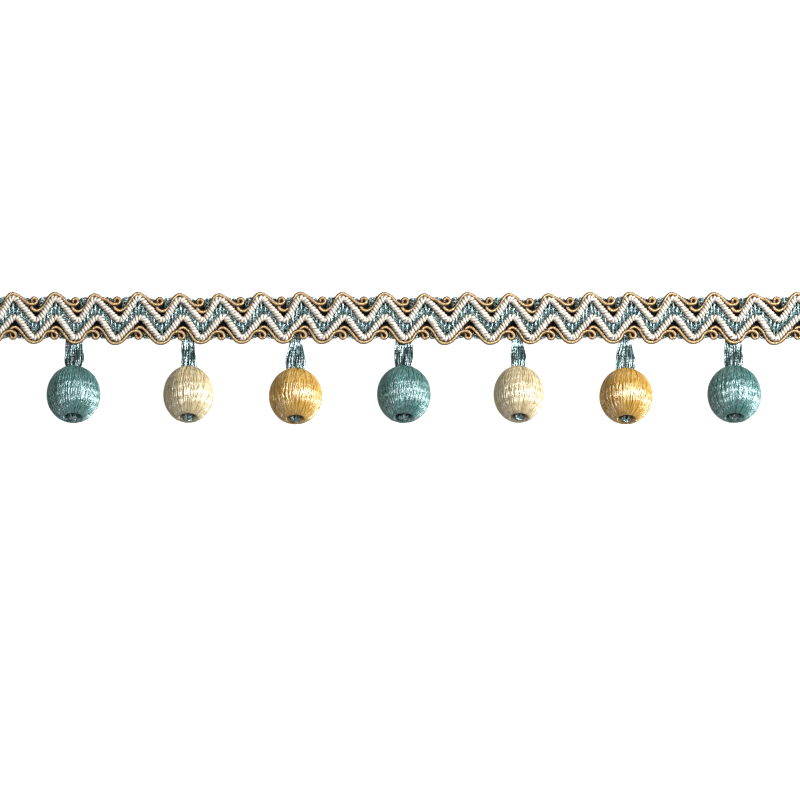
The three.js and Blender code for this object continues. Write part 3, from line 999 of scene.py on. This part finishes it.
def ball_start_mesh(ball, name):
    """The bored body under the floss, with one thread's course beside it as loose edges."""
    segments = 48
    body = ball_profile(ball, inset=0.3, arc_steps=16)
    thread = ball_profile(ball, inset=0.2, arc_steps=17)
    points = []
    for i in range(segments):
        turn = math.tau * i / segments
        for radius, place in body:
            points.append(Vector((radius * math.cos(turn), radius * math.sin(turn), place)) * MM)
    count = len(body)
    faces = []
    for i in range(segments):
        here = i * count
        there = (i + 1) % segments * count
        for j in range(count):
            after = (j + 1) % count
            faces.append((here + j, there + j, there + after, here + after))
    first = len(points)
    points += [Vector((radius, 0, place)) * MM for radius, place in thread]
    edges = [(first + i, first + i + 1) for i in range(len(thread) - 1)]
    mesh = new_mesh(name, points, edges, faces)
    mesh.polygons.foreach_set("use_smooth", [True] * len(faces))
    return mesh


def settle(mesh):
    """Presses what would reach below the floor into a small soft flat."""
    softness = REST_SOFTNESS * MM
    for vertex in mesh.vertices:
        vertex.co.z = (vertex.co.z + math.hypot(vertex.co.z, softness)) / 2


def make_ball(number, ball, along, tree, material):
    mouth_edge = 0.45
    first_seed = 40
    seeds_apart = 7
    name = f"wound_floss_{number}"
    values = {
        **BALL_FLOSS, "Girth": ball.girth * MM, "Mouth": (ball.mouth - mouth_edge) * MM,
        "Lift": ball.lift * MM, "Seed": first_seed + seeds_apart * number, "Material": material,
    }
    piece = make_piece(name, ball_start_mesh(ball, name), tree, values, ball_seat(ball, along))
    settle(piece.data)
    return piece


def strand_line(ball, hanger, strand, along):
    """One hanging yarn's course: out from under the tape's edge, up to the ball and into its bore."""
    root = hanger.root_shift + hanger.root * strand.root
    middle = hanger.middle * strand.middle
    points = []
    for way in STRAND_WAY:
        across = root + (middle - root) * way.spread
        points.append(Vector((across, way.out, way.level + strand.rise * way.rise)))
    for entry in STRAND_ENTERS:
        across = entry.spread * getattr(hanger, entry.width) * strand.mouth
        points.append(in_ball(ball, entry.inside - mouth_place(ball), across, strand.rise))
    return [point + Vector((along, 0, 0)) for point in points]


def knot_lines(ball, along, seed):
    """The knot in the lower mouth: a few short turns of yarn over each other."""
    turns = 6
    turn_slack = 0.2
    half_width = 1.7
    width_slack = 0.1
    most_aside = 0.5
    stations = (-1.0, -0.6, 0.0, 0.6, 1.0)
    sunk = 1.5
    crown = 1.2
    turn_rise = 0.12
    below_axis = 0.6
    draw = random.Random(seed)
    mouth = mouth_place(ball)
    lines = []
    for i in range(turns):
        turn = math.pi * i / turns + stray(draw, turn_slack)
        radius = half_width + stray(draw, width_slack)
        side = stray(draw, most_aside)
        line = []
        for share in stations:
            reach = radius * share
            across = reach * math.cos(turn) - side * math.sin(turn)
            above = reach * math.sin(turn) + side * math.cos(turn) - below_axis
            axial = mouth - sunk + crown * math.sqrt(1 - share * share) + turn_rise * i
            line.append(in_ball(ball, axial, across, above) + Vector((along, 0, 0)))
        lines.append(line)
    return lines


def make_hanger(number, ball, along, tree, material):
    lines = [strand_line(ball, HANGERS[ball.kind], strand, along) for strand in STRANDS]
    lines += knot_lines(ball, along, number)
    return lay_yarn(f"hanging_yarns_{number}", lines, tree, {**HANGING_YARN, "Seed": number}, material)


# Studio: the floor and the lamps are in metres
def add_floor():
    """A pale floor that reads white to the camera, as in the photo, and lights the trim as grey."""
    reach = 6.0
    corners = [(-reach, -reach, 0), (reach, -reach, 0), (reach, reach, 0), (-reach, reach, 0)]
    floor = new_object("floor", new_mesh("floor", corners, [], [(0, 1, 2, 3)]))

    material, bench, paint = new_material("pale floor")
    paint.inputs["Base Color"].default_value = (0.5, 0.5, 0.5, 1)
    paint.inputs["Roughness"].default_value = 0.9
    glow = bench.first("ShaderNodeEmission", {"Color": (1, 1, 1, 1), "Strength": 0.95})
    seen = bench.first("ShaderNodeAddShader", {0: glow, 1: paint.outputs[0]})
    to_camera = bench.node("ShaderNodeLightPath").outputs["Is Camera Ray"]
    chosen = bench.first("ShaderNodeMixShader", {0: to_camera, 1: paint.outputs[0], 2: seen})
    bench.feed(material.node_tree.nodes["Material Output"].inputs["Surface"], chosen)
    floor.data.materials.append(material)


def softbox(name, place, size, power):
    """A rectangular lamp that faces the trim's middle."""
    aim = Vector((0.0, -0.02, 0.01))
    data = bpy.data.lights.new(name, "AREA")
    data.shape = "RECTANGLE"
    data.size, data.size_y = size
    data.energy = power
    lamp = new_object(name, data)
    lamp.location = place
    lamp.rotation_euler = (aim - Vector(place)).to_track_quat("-Z", "Y").to_euler()


def add_light():
    """A strong soft light from the right, a weak one from above and a weak fill from the lower left."""
    world = bpy.data.worlds.new("studio")
    world.use_nodes = True
    background = world.node_tree.nodes["Background"]
    background.inputs["Color"].default_value = (0.93, 0.96, 1.0, 1)
    background.inputs["Strength"].default_value = 0.06
    bpy.context.scene.world = world
    softbox("key", place=(1.15, 0.42, 0.82), size=(0.6, 0.9), power=54.0)
    softbox("overhead", place=(0.0, 0.3, 1.25), size=(0.4, 0.4), power=5.0)
    softbox("fill", place=(-0.45, -0.85, 0.9), size=(1.0, 1.0), power=4.5)
    bpy.context.scene.view_settings.view_transform = "Standard"


def add_camera():
    """A long lens straight above, framed as the photograph."""
    lens = 400.0
    sensor = 36.0
    data = bpy.data.cameras.new("overhead")
    data.lens = lens
    data.sensor_width = sensor
    data.clip_end = 50.0
    camera = new_object("overhead", data)
    distance = PHOTO_WIDTH * lens / sensor
    camera.location = Vector((*PHOTO_CENTRE, VIEW_LEVEL + distance)) * MM
    bpy.context.scene.camera = camera


# Trim
def place_piece(piece, slot, *nodes):
    """Gives a finished piece its body and hides the solids that it stands for. Its slot is not used."""
    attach(piece, "root")
    if nodes:
        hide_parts(*nodes)


def build_tape(materials, plied):
    """The ground and the yarns that are worked into it."""
    tape = new_object("woven_tape", tape_mesh("woven_tape"))
    tape.data.materials.append(materials["tape_ground"])
    place_piece(tape, "tape_yarn", "ground_tape")
    upper, lower = [cream_corners(edge) for edge in EDGES.values()]
    worked_in = [
        ("band_yarns", band_lines(upper, lower), STRAIGHT_YARN),
        ("notch_yarns", notch_lines(upper, lower), STRAIGHT_YARN),
    ]
    worked_in += [(f"edge_loops_{name}", edge_lines(edge), FINE_YARN) for name, edge in EDGES.items()]
    for name, lines, recipe in worked_in:
        piece = lay_yarn(name, lines, plied, recipe, materials["tape_yarn"])
        place_piece(piece, "tape_yarn")


def build_cords(materials, plied):
    for name, edge in EDGES.items():
        cords = [
            (f"cream_zigzag_{name}", cream_course(edge), CREAM_WRAP, "cream_cord"),
            (f"gold_scroll_{name}", gold_course(edge), GOLD_WRAP, "gold_cord"),
        ]
        for piece_name, course, recipe, slot in cords:
            piece = lay_yarn(piece_name, [course], plied, recipe, materials[slot])
            place_piece(piece, slot, f"{slot}_{name}")


def build_balls(materials, plied, wound):
    """The seven balls, teal, cream and gold in turn, each with its hanging yarns."""
    for i in range(BALL_COUNT):
        number = i + 1
        ball = BALLS[i % len(BALLS)]
        along = REPEAT_START + i // len(BALLS) * REPEAT_LENGTH + ball.along
        slot = f"{ball.kind}_floss"
        piece = make_ball(number, ball, along, wound, materials[slot])
        place_piece(piece, slot, f"wound_ball_{number}")
        piece = make_hanger(number, ball, along, plied, materials["hanger_yarn"])
        place_piece(piece, "hanger_yarn", f"hanger_{number}")


def build_trim():
    materials = make_materials()
    plied = plied_yarn_tree()
    build_tape(materials, plied)
    build_cords(materials, plied)
    build_balls(materials, plied, wound_floss_tree())


add_camera()
add_floor()
add_light()
build_trim()
